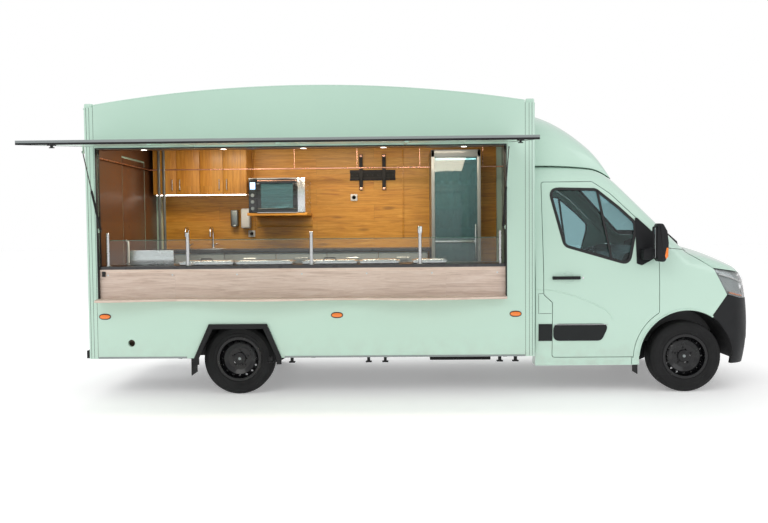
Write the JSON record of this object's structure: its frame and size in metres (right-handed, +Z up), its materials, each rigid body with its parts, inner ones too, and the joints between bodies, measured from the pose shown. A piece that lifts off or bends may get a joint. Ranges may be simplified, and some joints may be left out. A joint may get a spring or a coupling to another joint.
{
  "type": "food truck",
  "caption": "Serving van: box body with a raised side flap, counter and kitchen on a low cab chassis, with opening doors, steering and rolling wheels.",
  "frame": {"origin": "middle of the whole truck's footprint, flap open, on the ground", "axes": "+X forwards, +Y towards the driver's left, +Z up"},
  "size_m": [6.664, 3.7938, 2.968],
  "materials": {
    "panel_paint": "satin gloss gelcoat",
    "body_paint": "gloss",
    "frame_black": "satin",
    "black_plastic": "grained",
    "tyre": "matte",
    "wheel_black": "satin",
    "bright_steel": "brushed",
    "engine_grey": "cast",
    "clear_glass": "clear",
    "lamp_glass": "clear",
    "marker_amber": "moulded",
    "floor_sheet": "non-slip",
    "oak_pale": "satin laminate",
    "oak_warm": "satin laminate",
    "worktop_dark": "satin",
    "seat_fabric": "woven"
  },
  "bodies": {
    "truck": {"chassis_rails": "frame_black", "crossmembers": "frame_black", "rear_axle": "frame_black", "engine": "engine_grey", "fuel_tank": "black_plastic", "cab_body": "body_paint", "front_wings": "body_paint", "front_bumper": "black_plastic", "headlights": "lamp_glass", "windscreen": "clear_glass", "roof_deflector": "panel_paint", "dashboard": "black_plastic", "cab_seats": "seat_fabric", "box_floor": "floor_sheet", "box_front_wall": "panel_paint", "box_rear_wall": "panel_paint", "box_left_wall": "panel_paint", "box_serving_wall": "panel_paint", "box_roof": "panel_paint", "roof_fascia": "panel_paint", "corner_posts": "panel_paint", "wheel_arches": "black_plastic", "rear_bumper": "black_plastic", "lamps": "marker_amber", "counter": "worktop_dark", "counter_apron": "oak_pale", "guard_posts": "bright_steel", "guard_glass": "clear_glass", "light_strip": "oak_warm", "wall_cupboards": "oak_warm", "combi_oven": "bright_steel", "fridge": "bright_steel", "appliance_glass": "clear_glass", "back_counter": "worktop_dark", "monitor_bracket": "frame_black"},
    "flap": {"serving_flap": "panel_paint"},
    "door_right": {"door_right": "body_paint", "door_glass_right": "clear_glass", "mirror_right": "black_plastic"},
    "door_left": {"door_left": "body_paint", "door_glass_left": "clear_glass", "mirror_left": "black_plastic"},
    "bonnet": {"bonnet": "body_paint"},
    "rear_door": {"rear_door": "panel_paint"},
    "rear_step": {"rear_step": "bright_steel"},
    "steering_wheel": {"steering_wheel": "black_plastic"},
    "knuckle_right": {"knuckle_right": "frame_black"},
    "knuckle_left": {"knuckle_left": "frame_black"},
    "strut_barrel_rear": {"strut_barrel_rear": "frame_black"},
    "strut_rod_rear": {"strut_rod_rear": "bright_steel"},
    "strut_barrel_front": {"strut_barrel_front": "frame_black"},
    "strut_rod_front": {"strut_rod_front": "bright_steel"},
    "front_wheel_right": {"front_tyre_right": "tyre", "front_rim_right": "wheel_black"},
    "front_wheel_left": {"front_tyre_left": "tyre", "front_rim_left": "wheel_black"},
    "rear_wheel_right": {"rear_tyre_right": "tyre", "rear_rim_right": "wheel_black"},
    "rear_wheel_left": {"rear_tyre_left": "tyre", "rear_rim_left": "wheel_black"}
  },
  "joints": [
    {"name": "flap_hinge", "type": "hinge", "parent": "truck", "child": "flap", "pos_m": [2.453, -0.45313, 2.415], "axis": [1, 0, 0], "range_deg": [0, 84.6]},
    {"name": "strut_rear_pivot", "type": "hinge", "parent": "truck", "child": "strut_barrel_rear", "pos_m": [-3.163, -0.41613, 1.61], "axis": [1, 0, 0], "range_deg": [-31.52, 0]},
    {"name": "strut_rear_slide", "type": "slide", "parent": "strut_barrel_rear", "child": "strut_rod_rear", "axis": [0, -0.4755, 0.8797], "range_m": [-0.36061, 0]},
    {"name": "strut_front_pivot", "type": "hinge", "parent": "truck", "child": "strut_barrel_front", "pos_m": [0.685, -0.41613, 1.61], "axis": [1, 0, 0], "range_deg": [-31.52, 0]},
    {"name": "strut_front_slide", "type": "slide", "parent": "strut_barrel_front", "child": "strut_rod_front", "axis": [0, -0.4755, 0.8797], "range_m": [-0.36061, 0]},
    {"name": "door_right_hinge", "type": "hinge", "parent": "truck", "child": "door_right", "pos_m": [2.168, -0.36213, 1], "axis": [0, 0, 1], "range_deg": [0, 65]},
    {"name": "door_left_hinge", "type": "hinge", "parent": "truck", "child": "door_left", "pos_m": [2.168, 1.68587, 1], "axis": [0, 0, -1], "range_deg": [0, 65]},
    {"name": "bonnet_hinge", "type": "hinge", "parent": "truck", "child": "bonnet", "pos_m": [2.478, 0.66187, 1.385], "axis": [0, -1, 0], "range_deg": [0, 45]},
    {"name": "rear_door_hinge", "type": "hinge", "parent": "truck", "child": "rear_door", "pos_m": [-3.316, 1.21987, 1.4], "axis": [0, 0, -1], "range_deg": [0, 110]},
    {"name": "rear_step_slide", "type": "slide", "parent": "truck", "child": "rear_step", "axis": [-0.9962, 0, 0.0872], "range_m": [0, 0.4]},
    {"name": "steering_column", "type": "hinge", "parent": "truck", "child": "steering_wheel", "pos_m": [1.753, 1.06187, 1.27], "axis": [-0.5592, 0, 0.829], "range_deg": [-560, 560]},
    {"name": "steer_right", "type": "hinge", "parent": "truck", "child": "knuckle_right", "pos_m": [2.453, -0.15313, 0.343], "axis": [0, 0, 1], "range_deg": [-35.2, 35.2]},
    {"name": "front_wheel_right_spin", "type": "hinge", "parent": "knuckle_right", "child": "front_wheel_right", "pos_m": [2.453, -0.21313, 0.343], "axis": [0, 1, 0], "continuous": true},
    {"name": "rear_wheel_right_spin", "type": "hinge", "parent": "truck", "child": "rear_wheel_right", "pos_m": [-1.879, -0.20313, 0.343], "axis": [0, 1, 0], "continuous": true},
    {"name": "steer_left", "type": "hinge", "parent": "truck", "child": "knuckle_left", "pos_m": [2.453, 1.47687, 0.343], "axis": [0, 0, 1], "range_deg": [-35.2, 35.2]},
    {"name": "front_wheel_left_spin", "type": "hinge", "parent": "knuckle_left", "child": "front_wheel_left", "pos_m": [2.453, 1.53687, 0.343], "axis": [0, 1, 0], "continuous": true},
    {"name": "rear_wheel_left_spin", "type": "hinge", "parent": "truck", "child": "rear_wheel_left", "pos_m": [-1.879, 1.52687, 0.343], "axis": [0, 1, 0], "continuous": true}
  ],
  "couplings": [
    {"joint": "strut_rear_pivot", "follows": "flap_hinge", "ratio": -0.37019},
    {"joint": "strut_rear_slide", "follows": "flap_hinge", "m_per_rad": -0.24287},
    {"joint": "strut_front_pivot", "follows": "flap_hinge", "ratio": -0.37019},
    {"joint": "strut_front_slide", "follows": "flap_hinge", "m_per_rad": -0.24287},
    {"joint": "steer_right", "follows": "steering_column", "ratio": 0.0625},
    {"joint": "steer_left", "follows": "steering_column", "ratio": 0.0625}
  ]
}
